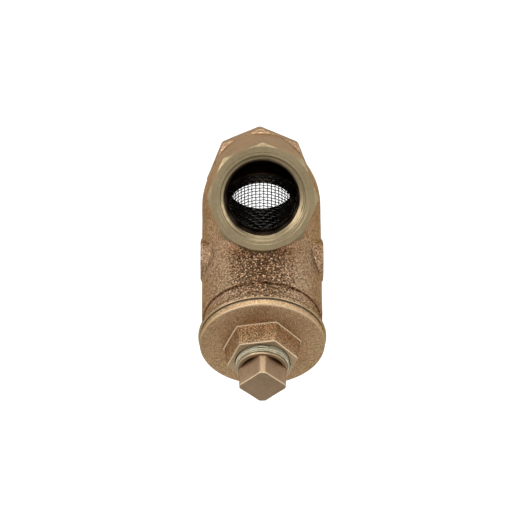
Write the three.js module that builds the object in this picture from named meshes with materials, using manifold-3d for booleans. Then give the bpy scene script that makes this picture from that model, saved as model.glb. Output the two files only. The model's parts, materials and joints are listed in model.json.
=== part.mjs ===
// Y-strainer for a 1 in threaded pipe run: a cast bronze body with a 45 degree branch, a woven
// wire screen inside it, and a screwed cap that holds the screen and carries a blow-off plug.
// Millimetres. The run lies along X and flows towards +X; the branch leans to +X and -Z.
// The origin is on the run's axis, midway between the two end faces.
import * as THREE from "three";
import { mergeVertices } from "three/addons/utils/BufferGeometryUtils.js";
import Module from "manifold-3d";

const wasm = await Module();
wasm.setup();

// ---- driving dimensions ----
const ROUND = 60; // facets of a round surface
const NPT_TAPER = 1 / 32; // change of radius per unit length

const FACE_TO_FACE = 117.5;
const END_ACROSS_FLATS = 41.3;
const END_LENGTH = 17.5;
const END_CHAMFER_R = 21.0;
const RUN_BARREL_R = 20.1;
const BARREL_OVERLAP = 1; // length of barrel inside each wrench end
const END_CHAMFER_ANGLE = Math.PI / 6;
const SOCKET_MINOR_R = 14.85;
const SOCKET_DEPTH = 19.5;
const COUNTERSINK_R = 17.15;
const WATERWAY_R = 13.8;
const WATERWAY_LENGTH = 4;
const CHAMBER_R = 16.8;

const BRANCH_ANGLE = (3 * Math.PI) / 4; // turn about Y that lays +Z along the branch
const BRANCH_R = 24.1;
const SHOULDER_CENTRE = 9; // along the branch, centre of the rounded upper end
const CREASE = 69.9;
const CREASE_LIP = 0.3; // how far the barrel rounds in before the crease
const COLLAR_R = 23.35;
const FLARE_START = 74.5;
const RIM_R = 25.6;
const RIM_FACE = 79.2;
const RIM_EDGE = 0.3; // chamfer of the rim's outer edge
const RIM_WIDTH = 1.4; // length of the rim's straight outer wall, edge included
const CAVITY_R = 19.6;
const CAP_BORE_R = 20.3;
const CAP_BORE_START = 67.5;
const MOUTH_CHAMFER = 0.7;

const PARTITION_TOP = -1.2; // along the branch, the face towards the inlet
const PARTITION_FOOT = 5.6; // the face towards the branch
const SEAT_HOLE_R = 13.4;
const SEAT_SHOULDER = 0.8;
const SEAT_R = 14.5;

const PAD_DROP = 27; // below the run's axis
const PAD_LENGTH = 30;
const PAD_HEIGHT = 16.5;
const PAD_FACE = 24.8;

const GASKET_THICKNESS = 0.7;
const GASKET_INSET = 0.8; // the gasket's hole clears the bore by this much
const GAP = 0.1; // between the gasket and the faces that squeeze it
const CLEARANCE = 0.3; // round the screen and under the cap's plain thread
const FLANGE_R = 25.07;
const FLANGE_FRONT = 83.0;
const FLANGE_EDGE_BACK = 0.4;
const FLANGE_EDGE_FRONT = 0.7;
const SKIRT_END = 69.0;
const SKIRT_CHAMFER = 0.8;
const CAP_RECESS_R = 14.9;
const CAP_FLOOR = 77.5;
const BOSS_TOP = 91.6;
const BOSS_ACROSS_CORNERS = 28.88;
const BOSS_DRAFT = 0.35;
const BOSS_TURN = (40 * Math.PI) / 180;
const BLOW_OFF_R = 10.95;
const BLOW_OFF_CHAMFER = 0.4;

const MESH_OUTER_R = 14.2;
const MESH_THICKNESS = 0.75;
const BAND_THICKNESS = 0.35;
const BAND_GAP = 0.15;
const MOUTH_BAND_END = 8.5;
const FOOT_BAND_START = 69.5;
const SEAM_WIDTH = 5;
const SEAM_THICKNESS = 0.35;
const SEAM_START = 10;
const SEAM_END = 68;

const PLUG_SHOULDER = 95.3;
const PLUG_TIP = 80.5;
const PLUG_R = 10.25;
const PLUG_FRONT = 104.36;
const HEAD_SIDE = 14.3;
const HEAD_ACROSS_CORNERS = 18.45;
const HEAD_CHAMFER = 0.6;
const TIP_CHAMFER = 0.6;
const SHOULDER_CHAMFER = 0.5;
const TAPE_START = 82;
const TAPE_END = 95;
const TAPE_THICKNESS = 0.35;

// ---- finishes ----
const castBronze = new THREE.MeshStandardMaterial({ color: 0x967d62, roughness: 0.62, metalness: 1 });
const plugBronze = new THREE.MeshStandardMaterial({ color: 0x8c765a, roughness: 0.5, metalness: 1 });
const stainless = new THREE.MeshStandardMaterial({ color: 0xb4b2ac, roughness: 0.35, metalness: 1 });
const fibre = new THREE.MeshStandardMaterial({ color: 0x2e2c2a, roughness: 0.9, metalness: 0 });
const tapeWhite = new THREE.MeshStandardMaterial({ color: 0xdcd8c4, roughness: 0.7, metalness: 0 });

// ---- helpers ----

// A solid turned about Z from [radius, height] points that start and end on the axis, rising.
function turned(points, from = 0, sweep = 2 * Math.PI, facets = ROUND) {
  const profile = points.map(([r, h]) => new THREE.Vector2(r, h));
  return new THREE.LatheGeometry(profile, facets, from, sweep).rotateX(Math.PI / 2);
}

// A ring turned about Z: its section is a rectangle that closes on itself.
function ring(inner, outer, low, high) {
  const section = [[inner, low], [outer, low], [outer, high], [inner, high], [inner, low]];
  return turned(section);
}

function toManifold(geometry) {
  const bare = geometry.clone();
  bare.deleteAttribute("normal");
  bare.deleteAttribute("uv");
  const merged = mergeVertices(bare, 1e-4);
  const vertProperties = new Float32Array(merged.attributes.position.array);
  const triVerts = new Uint32Array(merged.index.array);
  return new wasm.Manifold(new wasm.Mesh({ numProp: 3, vertProperties, triVerts }));
}

function toGeometry(solid) {
  const mesh = solid.getMesh();
  const indexed = new THREE.BufferGeometry();
  indexed.setAttribute("position", new THREE.BufferAttribute(mesh.vertProperties, 3));
  indexed.setIndex(new THREE.BufferAttribute(mesh.triVerts, 1));
  const faceted = indexed.toNonIndexed();
  faceted.computeVertexNormals();
  return faceted;
}

function part(name, geometry, material) {
  const mesh = new THREE.Mesh(geometry, material);
  mesh.name = name;
  return mesh;
}

// Lays a shape made along Z along the branch.
const alongBranch = (geometry) => geometry.rotateY(BRANCH_ANGLE);

// Lays a shape made along Z along the run, towards the outlet (+1) or the inlet (-1).
const alongRun = (geometry, side) => geometry.rotateY((side * Math.PI) / 2);

// ---- body casting ----

// Octagonal wrench end, one corner up, its corners chamfered at the face.
function wrenchEnd(side) {
  const outer = END_ACROSS_FLATS / 2 / Math.cos(Math.PI / 8);
  const middle = FACE_TO_FACE / 2 - END_LENGTH / 2;
  const octagon = new THREE.CylinderGeometry(outer, outer, END_LENGTH, 8);
  octagon.rotateX(Math.PI / 2).rotateZ(Math.PI).translate(0, 0, middle);
  const face = FACE_TO_FACE / 2;
  const slope = (outer + 1 - END_CHAMFER_R) * Math.tan(END_CHAMFER_ANGLE);
  const envelope = turned([
    [0, face - END_LENGTH - 1],
    [outer + 1, face - END_LENGTH - 1],
    [outer + 1, face - slope],
    [END_CHAMFER_R, face],
    [0, face],
  ]);
  return toManifold(alongRun(octagon, side)).intersect(toManifold(alongRun(envelope, side)));
}

// Barrel of the run, which enters each wrench end a little.
function runBarrel() {
  const reach = FACE_TO_FACE / 2 - END_LENGTH + BARREL_OVERLAP;
  const points = [[0, -reach], [RUN_BARREL_R, -reach], [RUN_BARREL_R, reach], [0, reach]];
  return toManifold(alongRun(turned(points), 1));
}

// Barrel of the branch, from its rounded upper end to the flared rim that the cap meets.
function branchBarrel() {
  const steps = 14;
  const dome = [];
  for (let i = 0; i <= steps; i++) {
    const angle = (i / steps) * (Math.PI / 2);
    const r = i === 0 ? 0 : BRANCH_R * Math.sin(angle);
    dome.push([r, SHOULDER_CENTRE - BRANCH_R * Math.cos(angle)]);
  }
  const profile = [
    ...dome,
    [BRANCH_R, CREASE - 1],
    [BRANCH_R - CREASE_LIP, CREASE - CREASE_LIP],
    [COLLAR_R, CREASE],
    [COLLAR_R, FLARE_START],
    [COLLAR_R + 0.5, FLARE_START + 1.5],
    [RIM_R - 0.2, RIM_FACE - RIM_WIDTH - 0.4],
    [RIM_R, RIM_FACE - RIM_WIDTH],
    [RIM_R, RIM_FACE - RIM_EDGE],
    [RIM_R - RIM_EDGE, RIM_FACE],
    [0, RIM_FACE],
  ];
  return toManifold(alongBranch(turned(profile)));
}

// Flat oval pad on one side of the branch, level with the run.
function sidePad(side) {
  const half = (PAD_LENGTH - PAD_HEIGHT) / 2;
  const r = PAD_HEIGHT / 2;
  const outline = new THREE.Shape();
  outline.absarc(half, 0, r, -Math.PI / 2, Math.PI / 2);
  outline.absarc(-half, 0, r, Math.PI / 2, (3 * Math.PI) / 2);
  const pad = new THREE.ExtrudeGeometry(outline, { depth: PAD_FACE, bevelEnabled: false });
  pad.rotateX((side * -Math.PI) / 2).translate(PAD_DROP, 0, -PAD_DROP);
  return toManifold(pad);
}

// Everything on one side of a plane square to the branch.
function halfSpace(plane, side) {
  const size = 400;
  const block = new THREE.BoxGeometry(size, size, size);
  block.translate(0, 0, plane + (side * size) / 2);
  return toManifold(alongBranch(block));
}

// Hollow of one end: chamber, round waterway, tapered thread bore and countersink.
function endHollow() {
  const face = FACE_TO_FACE / 2;
  const bottom = face - SOCKET_DEPTH;
  const sink = COUNTERSINK_R - SOCKET_MINOR_R;
  return turned([
    [0, -CHAMBER_R - 10],
    [CHAMBER_R, -CHAMBER_R - 10],
    [CHAMBER_R, bottom - WATERWAY_LENGTH],
    [WATERWAY_R, bottom - WATERWAY_LENGTH + 1],
    [WATERWAY_R, bottom],
    [SOCKET_MINOR_R - SOCKET_DEPTH * NPT_TAPER, bottom],
    [SOCKET_MINOR_R, face - sink],
    [COUNTERSINK_R, face],
    [COUNTERSINK_R, face + 1],
    [0, face + 1],
  ]);
}

// Hollow of the branch, with the plain bore that the cap's skirt fills.
function branchHollow() {
  return turned([
    [0, PARTITION_FOOT],
    [CAVITY_R, PARTITION_FOOT],
    [CAVITY_R, CAP_BORE_START - 1],
    [CAP_BORE_R, CAP_BORE_START],
    [CAP_BORE_R, RIM_FACE - MOUTH_CHAMFER],
    [CAP_BORE_R + MOUTH_CHAMFER, RIM_FACE],
    [CAP_BORE_R + MOUTH_CHAMFER, RIM_FACE + 1],
    [0, RIM_FACE + 1],
  ]);
}

// Stepped hole through the partition, which locates the screen's mouth.
function seatHole() {
  return turned([
    [0, PARTITION_TOP - 0.5],
    [SEAT_HOLE_R, PARTITION_TOP - 0.5],
    [SEAT_HOLE_R, SEAT_SHOULDER],
    [SEAT_R, SEAT_SHOULDER],
    [SEAT_R, PARTITION_FOOT + 0.5],
    [0, PARTITION_FOOT + 0.5],
  ]);
}

function bodyCasting() {
  const outside = runBarrel()
    .add(wrenchEnd(1))
    .add(wrenchEnd(-1))
    .add(branchBarrel())
    .add(sidePad(1))
    .add(sidePad(-1));
  const inlet = toManifold(alongRun(endHollow(), -1)).intersect(halfSpace(PARTITION_TOP, -1));
  const outlet = toManifold(alongRun(endHollow(), 1)).intersect(halfSpace(PARTITION_FOOT, 1));
  return outside
    .subtract(inlet)
    .subtract(outlet)
    .subtract(toManifold(alongBranch(branchHollow())))
    .subtract(toManifold(alongBranch(seatHole())));
}

// ---- cap, gasket, screen and plug, each made along Z and laid along the branch ----

const FLANGE_BACK = RIM_FACE + GAP + GASKET_THICKNESS + GAP;
const SKIRT_R = CAP_BORE_R - CLEARANCE;

function retainerCap() {
  const shell = turned([
    [0, SKIRT_END],
    [SKIRT_R - SKIRT_CHAMFER, SKIRT_END],
    [SKIRT_R, SKIRT_END + SKIRT_CHAMFER],
    [SKIRT_R, FLANGE_BACK],
    [FLANGE_R - FLANGE_EDGE_BACK, FLANGE_BACK],
    [FLANGE_R, FLANGE_BACK + FLANGE_EDGE_BACK],
    [FLANGE_R, FLANGE_FRONT - FLANGE_EDGE_FRONT],
    [FLANGE_R - FLANGE_EDGE_FRONT, FLANGE_FRONT],
    [0, FLANGE_FRONT],
  ]);
  const corner = BOSS_ACROSS_CORNERS / 2;
  const low = CAP_FLOOR + 1;
  const height = BOSS_TOP - low;
  const boss = new THREE.CylinderGeometry(corner, corner + BOSS_DRAFT, height, 6);
  boss.rotateX(Math.PI / 2).rotateZ(BOSS_TURN + Math.PI / 2).translate(0, 0, low + height / 2);
  const hollow = turned([
    [0, SKIRT_END - 1],
    [CAP_RECESS_R + SKIRT_CHAMFER, SKIRT_END - 1],
    [CAP_RECESS_R + SKIRT_CHAMFER, SKIRT_END],
    [CAP_RECESS_R, SKIRT_END + SKIRT_CHAMFER],
    [CAP_RECESS_R, CAP_FLOOR],
    [BLOW_OFF_R - (BOSS_TOP - CAP_FLOOR) * NPT_TAPER, CAP_FLOOR],
    [BLOW_OFF_R, BOSS_TOP - BLOW_OFF_CHAMFER],
    [BLOW_OFF_R + BLOW_OFF_CHAMFER, BOSS_TOP],
    [BLOW_OFF_R + BLOW_OFF_CHAMFER, BOSS_TOP + 1],
    [0, BOSS_TOP + 1],
  ]);
  return toManifold(shell).add(toManifold(boss)).subtract(toManifold(hollow));
}

function capGasket() {
  const low = RIM_FACE + GAP;
  return ring(CAP_BORE_R + GASKET_INSET, FLANGE_R - FLANGE_EDGE_BACK, low, low + GASKET_THICKNESS);
}

const SCREEN_MOUTH = SEAT_SHOULDER + 0.2;
const SCREEN_FOOT = CAP_FLOOR - CLEARANCE;
const MESH_INNER_R = MESH_OUTER_R - MESH_THICKNESS;
const BAND_OUTER_R = MESH_INNER_R - BAND_GAP;

// Strip that locks the mesh's cut edges, on the side of the cylinder towards the inlet.
function screenSeam() {
  const inner = MESH_OUTER_R + BAND_GAP;
  const outer = inner + SEAM_THICKNESS;
  const turn = SEAM_WIDTH / 2 / outer;
  const outline = new THREE.Shape();
  outline.absarc(0, 0, outer, -turn, turn, false);
  outline.absarc(0, 0, inner, turn, -turn, true);
  return new THREE.ExtrudeGeometry(outline, {
    depth: SEAM_END - SEAM_START,
    bevelEnabled: false,
    curveSegments: 4,
  }).translate(0, 0, SEAM_START);
}

function blowOffPlug() {
  const tipR = PLUG_R - (PLUG_SHOULDER - PLUG_TIP) * NPT_TAPER;
  const shank = turned([
    [0, PLUG_TIP],
    [tipR - TIP_CHAMFER, PLUG_TIP],
    [tipR, PLUG_TIP + TIP_CHAMFER],
    [PLUG_R, PLUG_SHOULDER - SHOULDER_CHAMFER],
    [PLUG_R - SHOULDER_CHAMFER, PLUG_SHOULDER],
    [0, PLUG_SHOULDER],
  ]);
  const reach = HEAD_ACROSS_CORNERS / 2;
  const flat = HEAD_SIDE / Math.SQRT2 - reach;
  const outline = new THREE.Shape();
  outline.moveTo(reach, -flat);
  for (let i = 0; i < 4; i++) {
    const [c, s] = [Math.cos((i * Math.PI) / 2), Math.sin((i * Math.PI) / 2)];
    outline.lineTo(reach * c - flat * s, reach * s + flat * c);
    outline.lineTo(flat * c - reach * s, flat * s + reach * c);
  }
  const head = new THREE.ExtrudeGeometry(outline, {
    depth: PLUG_FRONT - PLUG_SHOULDER,
    bevelEnabled: true,
    bevelSegments: 1,
    bevelSize: HEAD_CHAMFER,
    bevelOffset: -HEAD_CHAMFER,
    bevelThickness: HEAD_CHAMFER,
  });
  head.translate(0, 0, PLUG_SHOULDER - HEAD_CHAMFER);
  return toManifold(shank).add(toManifold(head));
}

// Sleeve of sealing tape on the plug's thread, tapered with it.
function plugTape() {
  const radiusAt = (h) => PLUG_R + BAND_GAP - (PLUG_SHOULDER - h) * NPT_TAPER;
  return turned([
    [radiusAt(TAPE_START), TAPE_START],
    [radiusAt(TAPE_START) + TAPE_THICKNESS, TAPE_START],
    [radiusAt(TAPE_END) + TAPE_THICKNESS, TAPE_END],
    [radiusAt(TAPE_END), TAPE_END],
    [radiusAt(TAPE_START), TAPE_START],
  ]);
}

// ---- assembly ----
const strainer = new THREE.Group();
strainer.add(part("body", toGeometry(bodyCasting()), castBronze));

const branch = new THREE.Group();
branch.rotation.y = BRANCH_ANGLE;
strainer.add(branch);

const bandInnerR = BAND_OUTER_R - BAND_THICKNESS;
branch.add(
  part("retainer_cap", toGeometry(retainerCap()), castBronze),
  part("cap_gasket", capGasket(), fibre),
  part("screen_mesh", ring(MESH_INNER_R, MESH_OUTER_R, SCREEN_MOUTH, SCREEN_FOOT), stainless),
  part("screen_mouth_band", ring(bandInnerR, BAND_OUTER_R, SCREEN_MOUTH, MOUTH_BAND_END), stainless),
  part("screen_foot_band", ring(bandInnerR, BAND_OUTER_R, FOOT_BAND_START, SCREEN_FOOT), stainless),
  part("screen_seam_strip", screenSeam(), stainless),
  part("blow_off_plug", toGeometry(blowOffPlug()), plugBronze),
  part("plug_tape", plugTape(), tapeWhite),
);

export default strainer;
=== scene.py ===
# Y-strainer for a 1 in threaded pipe run, cast in bronze: the looks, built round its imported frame.
# Sizes are in millimetres; the run lies along X and the branch leans 45 degrees to +X and -Z.
# The sections follow the bench: casting, machined ends, collar, seat, screen, gasket, cap, plug, tape.
import json
import math

import bmesh
import bpy
import numpy as np
from mathutils import Matrix, Vector


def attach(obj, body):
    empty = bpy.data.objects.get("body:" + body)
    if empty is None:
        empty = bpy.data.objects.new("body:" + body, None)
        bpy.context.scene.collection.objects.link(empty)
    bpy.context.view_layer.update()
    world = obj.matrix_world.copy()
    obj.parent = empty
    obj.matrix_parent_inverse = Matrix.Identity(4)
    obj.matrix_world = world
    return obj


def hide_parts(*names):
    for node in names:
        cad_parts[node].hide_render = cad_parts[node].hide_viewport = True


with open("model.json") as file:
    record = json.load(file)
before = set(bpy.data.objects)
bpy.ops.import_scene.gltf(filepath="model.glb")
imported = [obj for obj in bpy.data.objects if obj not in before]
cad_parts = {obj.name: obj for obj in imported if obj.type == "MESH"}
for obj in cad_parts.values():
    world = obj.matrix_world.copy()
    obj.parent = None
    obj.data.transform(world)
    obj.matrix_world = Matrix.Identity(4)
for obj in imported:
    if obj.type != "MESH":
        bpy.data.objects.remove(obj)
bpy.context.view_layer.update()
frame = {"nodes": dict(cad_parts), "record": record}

# ==== The body casting ====
# One sand casting in red bronze: a round run barrel, an eight-sided wrench end on each side, the
# barrel of the branch with its rounded upper end, and a flat oval pad on each flank. Inside it is
# cored hollow, with a slanting wall across the run that the water crosses only through the screen.
MM = 0.001
LEAN = math.sqrt(0.5)
mounts = {m["name"]: m for m in frame["record"]["mounts"]}
FACE = mounts["outlet_face"]["pos_m"][0] / MM
HALF_FLATS = 20.6
END_BACK = FACE - 17.5
RUN_R = 20.1
BRANCH_R = 24.1
COLLAR_SEAM = 66.3
SOCKET_BOTTOM = FACE - 19.5
WATERWAY_BACK = SOCKET_BOTTOM - 4
LINER_R = 17.3
WALL_TOP, WALL_FOOT = -1.2, 5.6
CAVITY_R = 19.6
PAD_X, PAD_HALF, PAD_R, PAD_FACE = 27.0, 6.75, 7.9, 24.7


def soft_max(a, b, k):
    """The larger of two distances, with the corner between them rounded over a width of k."""
    h = np.maximum(k - np.abs(a - b), 0) / k
    return np.maximum(a, b) + h * h * k / 4


def soft_min(a, b, k):
    """The smaller of two distances, with the corner between them filled over a width of k."""
    return -soft_max(-a, -b, k)


def octagon(y, z):
    """Distance outside an octagon with a corner at the top: the largest of its four pairs of flats."""
    c, s = math.cos(math.pi / 8), math.sin(math.pi / 8)
    flats = [np.abs(c * y + s * z), np.abs(s * y + c * z), np.abs(c * y - s * z), np.abs(s * y - c * z)]
    far = flats[0]
    for flat in flats[1:]:
        far = soft_max(far, flat, 0.7)
    return far - HALF_FLATS


def sand_waves(x, y, z):
    """Slow unevenness of a sand mould's wall: a few crossed sine waves, about 0.1 mm high."""
    broad = np.sin(0.31 * x + 1.3 * np.sin(0.23 * y + 1.0)) * np.sin(0.37 * z + 0.8 * np.sin(0.29 * x))
    close = np.sin(0.83 * x + 0.91 * z + 2.0) * np.sin(0.97 * y - 0.71 * x + 0.5)
    return 0.05 * broad + 0.025 * close


def flow_arrow(x, z):
    """Distance outside a plain arrow that points along the flow: a bar joined to a three-sided head."""
    bar = np.maximum(np.abs(x + 2.2) - 6.0, np.abs(z) - 1.1)
    head = np.maximum(3.0 - x, (x - 9.6) * 0.55 + np.abs(z) * 0.835)
    return np.minimum(bar, head)


def core_field(x, y, z):
    """Distance outside the sand cores: one on each side of the slanting wall, the branch's and the hole."""
    along = (x - z) * LEAN
    up = (x + z) * LEAN
    round_branch = np.sqrt(y * y + up * up)
    core = np.sqrt(y * y + z * z) - np.where(np.abs(x) < WATERWAY_BACK, 16.8, LINER_R)
    inlet = soft_max(core, along - WALL_TOP, 1.5)
    outlet = np.maximum(core, WALL_FOOT - along)
    cavity = np.maximum(round_branch - CAVITY_R, WALL_FOOT - along)
    hole = np.maximum(round_branch - 14.9, np.abs(along - 2.2) - 5.0)
    return np.minimum(np.minimum(inlet, soft_min(outlet, cavity, 2.0)), hole)


def casting_field(x, y, z):
    """Distance outside the bronze: the barrels, ends and pads joined softly, less the cored hollows."""
    out = np.sqrt(y * y + z * z)
    along = (x - z) * LEAN
    up = (x + z) * LEAN
    round_branch = np.sqrt(y * y + up * up)
    reach = np.abs(x)

    barrel = np.maximum(out - RUN_R, reach - END_BACK - 0.8)
    end = soft_max(octagon(y, z), END_BACK - reach, 0.5)
    shell = soft_min(barrel, np.maximum(end, reach - FACE + 1.5), 0.9)
    branch = np.sqrt(round_branch**2 + np.minimum(along - 9, 0) ** 2) - BRANCH_R
    shell = soft_min(shell, np.maximum(branch, along - COLLAR_SEAM - 0.7), 4.0)
    side = np.maximum(np.abs(x - PAD_X) - PAD_HALF, 0)
    oval = np.sqrt(side**2 + (z + PAD_X) ** 2) - PAD_R
    pad = np.maximum(soft_max(oval, np.abs(y) - PAD_FACE, 0.7), 15 - np.abs(y))
    pad = soft_max(pad, -np.maximum(oval + 1.7, PAD_FACE - 0.55 - np.abs(y)), 0.4)
    shell = soft_min(shell, pad, 0.6)
    arrow = np.maximum(flow_arrow(x - PAD_X, z + PAD_X), np.abs(np.abs(y) - PAD_FACE + 0.9) - 0.9)
    shell = soft_min(shell, arrow, 0.5) - sand_waves(x, y, z)

    return np.maximum(shell, -core_field(x, y, z))


def skin_of(field, low, high, step):
    """The surface where a field is zero, on a box of cubic cells. Each cell that it crosses gets one
    vertex, at the mean of the crossings of the cell's edges and then slid down the field's slope onto
    the surface. Each grid edge that it crosses gets one quad, between the four cells round the edge."""
    lines = [np.arange(low[k], high[k] + step, step) for k in range(3)]
    values = field(*np.meshgrid(*lines, indexing="ij", sparse=True))
    inside = values < 0
    cells = np.array(values.shape) - 1
    corners = [(i, j, k) for i in (0, 1) for j in (0, 1) for k in (0, 1)]
    part = {c: tuple(slice(c[k], c[k] + cells[k]) for k in range(3)) for c in corners}
    filled = sum(inside[part[c]].astype(np.int8) for c in corners)
    active = (filled > 0) & (filled < 8)
    number = np.full(active.shape, -1)
    number[active] = np.arange(active.sum())
    total = np.zeros((active.sum(), 3))
    hits = np.zeros((active.sum(), 1))
    for a in corners:
        for k in range(3):
            if a[k]:
                continue
            b = tuple(v + (n == k) for n, v in enumerate(a))
            fa, fb = values[part[a]][active], values[part[b]][active]
            crossed = (fa < 0) != (fb < 0)
            share = np.where(crossed, fa / np.where(crossed, fa - fb, 1), 0)
            point = np.tile(np.array(a, float), (len(fa), 1))
            point[:, k] += share
            total += point * crossed[:, None]
            hits += crossed[:, None]
    points = (np.argwhere(active) + total / hits) * step + np.array(low)

    def value(p):
        return field(p[:, 0], p[:, 1], p[:, 2])

    for _ in range(4):
        here = value(points)
        slope = np.stack([value(points + d) - value(points - d) for d in np.eye(3) * 0.02], 1) / 0.04
        move = -here[:, None] * slope / np.maximum((slope**2).sum(1, keepdims=True), 0.2)
        points += np.clip(move, -step / 2, step / 2)

    quads = []
    for a in range(3):
        b, c = (a + 1) % 3, (a + 2) % 3
        turned = np.transpose(inside, (a, b, c))
        near = np.transpose(number, (a, b, c))
        first, last = turned[:-1, 1:-1, 1:-1], turned[1:, 1:-1, 1:-1]
        four = [near[:, :-1, :-1], near[:, 1:, :-1], near[:, 1:, 1:], near[:, :-1, 1:]]
        for mask, order in ((first & ~last, (0, 1, 2, 3)), (last & ~first, (3, 2, 1, 0))):
            quads.append(np.stack([four[n][mask] for n in order], 1))
    return points, np.concatenate(quads)


def piece_from(name, points, faces, body, finish, face_finish=None, crease=35):
    """A mesh object in the row's frame, smooth but for edges sharper than crease degrees, on a body."""
    mesh = bpy.data.meshes.new(name)
    mesh.from_pydata((np.asarray(points) * MM).tolist(), [], [list(map(int, f)) for f in faces])
    for material in finish:
        mesh.materials.append(material)
    if face_finish is not None:
        mesh.polygons.foreach_set("material_index", np.asarray(face_finish, np.int32))
    mesh.polygons.foreach_set("use_smooth", np.ones(len(mesh.polygons), bool))
    mesh.update()
    mesh.set_sharp_from_angle(angle=math.radians(crease))
    made = bpy.data.objects.new(name, mesh)
    bpy.context.scene.collection.objects.link(made)
    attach(made, body)
    return made


def put(tree, kind, inputs=None, **settings):
    """One shader node, its settings, and for each named input either a value or the socket it takes."""
    made = tree.nodes.new("ShaderNode" + kind)
    for key, value in settings.items():
        setattr(made, key, value)
    for key, value in (inputs or {}).items():
        if isinstance(value, bpy.types.NodeSocket):
            tree.links.new(value, made.inputs[key])
        else:
            made.inputs[key].default_value = value
    return made


def sums(tree, operation, *values, clamp=False):
    """One Math node over the given sockets and numbers."""
    return put(tree, "Math", dict(enumerate(values)), operation=operation, use_clamp=clamp).outputs[0]


def blend_colours(tree, share, first, second, mode="MIX"):
    """One Mix node over two colours."""
    inputs = {0: share, 6: first, 7: second}
    return put(tree, "Mix", inputs, data_type="RGBA", blend_type=mode).outputs[2]


def effect(name, inputs, outputs):
    """An empty node group with named number and vector sockets; returns it with its two end nodes."""
    tree = bpy.data.node_groups.new(name, "ShaderNodeTree")
    for socket, kind in inputs.items():
        tree.interface.new_socket(socket, in_out="INPUT", socket_type="NodeSocket" + kind)
    for socket, kind in outputs.items():
        tree.interface.new_socket(socket, in_out="OUTPUT", socket_type="NodeSocket" + kind)
    return tree, tree.nodes.new("NodeGroupInput"), tree.nodes.new("NodeGroupOutput")


def make_sand_grain():
    """Sand-cast grain: rounded lumps with pits between them, over a finer grit."""
    outputs = {"Height": "Float", "Pits": "Float", "Tops": "Float"}
    tree, start, end = effect("sand_grain", {"Vector": "Vector", "Grain": "Float"}, outputs)
    place, grain = start.outputs["Vector"], start.outputs["Grain"]
    fine = sums(tree, "MULTIPLY", grain, 2.1)
    lumps = put(tree, "TexVoronoi", {"Vector": place, "Scale": grain}, feature="SMOOTH_F1")
    clumps = put(tree, "TexNoise", {"Vector": place, "Scale": grain, "Detail": 2.0, "Roughness": 0.6})
    grit = put(tree, "TexNoise", {"Vector": place, "Scale": fine, "Detail": 1.0})
    rise = sums(tree, "SUBTRACT", 0.9, lumps.outputs["Distance"])
    height = sums(tree, "MULTIPLY_ADD", rise, 0.5, sums(tree, "MULTIPLY", clumps.outputs[0], 1.1))
    height = sums(tree, "MULTIPLY_ADD", grit.outputs[0], 0.35, height)
    pits = put(tree, "MapRange", {"Value": height, 1: 1.0, 2: 0.78, 3: 0.0, 4: 1.0})
    tops = put(tree, "MapRange", {"Value": height, 1: 1.05, 2: 1.25, 3: 0.0, 4: 1.0})
    tree.links.new(height, end.inputs["Height"])
    tree.links.new(pits.outputs[0], end.inputs["Pits"])
    tree.links.new(tops.outputs[0], end.inputs["Tops"])
    return tree


def make_tone_drift():
    """Uneven tone of an unpolished surface: broad clouds with smaller blotches in them."""
    tree, start, end = effect("tone_drift", {"Vector": "Vector", "Size": "Float"}, {"Tone": "Float"})
    place, size = start.outputs["Vector"], start.outputs["Size"]
    broad = put(tree, "TexNoise", {"Vector": place, "Scale": size, "Detail": 3.0})
    blotch = sums(tree, "MULTIPLY", size, 7.0)
    close = put(tree, "TexNoise", {"Vector": place, "Scale": blotch, "Detail": 2.0})
    tone = sums(tree, "MULTIPLY_ADD", close.outputs[0], 0.4, sums(tree, "MULTIPLY", broad.outputs[0], 0.6))
    spread = put(tree, "MapRange", {"Value": tone, 1: 0.35, 2: 0.65, 3: 0.0, 4: 1.0})
    tree.links.new(spread.outputs[0], end.inputs["Tone"])
    return tree


sand_grain = make_sand_grain()
tone_drift = make_tone_drift()


def new_finish(name):
    """A material with its shader; returns the material, its tree, the shader and object coordinates."""
    material = bpy.data.materials.new(name)
    material.use_nodes = True
    tree = material.node_tree
    shader = next(n for n in tree.nodes if n.type == "BSDF_PRINCIPLED")
    place = put(tree, "TexCoord").outputs["Object"]
    return material, tree, shader, place


def use(tree, group, **inputs):
    """One copy of a node group, with a value or a socket for each named input."""
    made = tree.nodes.new("ShaderNodeGroup")
    made.node_tree = group
    for key, value in inputs.items():
        socket = made.inputs[key]
        if isinstance(value, bpy.types.NodeSocket):
            tree.links.new(value, socket)
        else:
            socket.default_value = value
    return made


EDGE_TINT = (0.42, 0.32, 0.22, 1.0)
CROTCH = (0.062, 0.0, -0.028)


CALM = 0.35


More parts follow.
